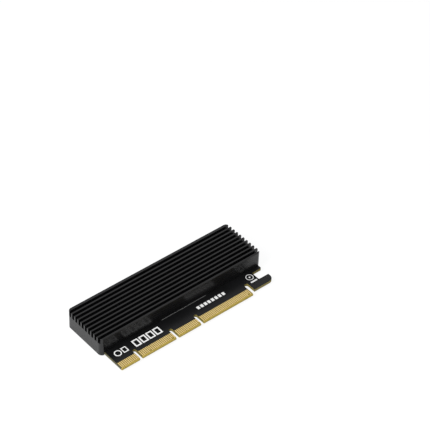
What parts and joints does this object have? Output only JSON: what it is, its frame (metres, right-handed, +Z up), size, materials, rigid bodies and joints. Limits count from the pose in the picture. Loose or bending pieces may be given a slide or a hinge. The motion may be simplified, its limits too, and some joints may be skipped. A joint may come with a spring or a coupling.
{
  "type": "nvme adapter card",
  "caption": "Edge-connector board with a finned aluminium shell that holds and cools a solid-state drive module on its way into a computer's expansion slot.",
  "frame": {"origin": "middle of the back plate's lower face, on which the card lies", "axes": "+X along the card from the first contact towards the hook, +Y from the contact edge to the back, +Z up through the fins"},
  "size_m": [0.1038, 0.0417, 0.0125],
  "materials": {
    "board": "satin black solder mask over glass-epoxy laminate",
    "gold": "gold plate over copper",
    "black_anodised": "black anodised, fine satin",
    "plate_anodised": "black anodised, brushed",
    "screw_steel": "nickel-plated steel",
    "socket_plastic": "moulded high-temperature plastic",
    "tin": "tin-plated copper alloy",
    "brass_turned": "turned brass",
    "ceramic_brown": "fired ceramic",
    "resistor_black": "coated ceramic"
  },
  "bodies": {
    "root": {"circuit_board": "board", "edge_contacts_front": "gold", "edge_contacts_back": "gold", "finned_heatsink": "black_anodised", "back_plate": "plate_anodised", "case_screws": "screw_steel", "ssd_socket": "socket_plastic", "socket_leads": "tin", "socket_tabs": "tin", "ssd_standoff": "brass_turned", "ssd_screw": "screw_steel", "bulk_capacitors": "ceramic_brown", "bulk_terminals": "tin", "bypass_capacitors": "ceramic_brown", "bypass_terminals": "tin", "strap_resistors": "resistor_black", "strap_terminals": "tin"}
  },
  "joints": []
}
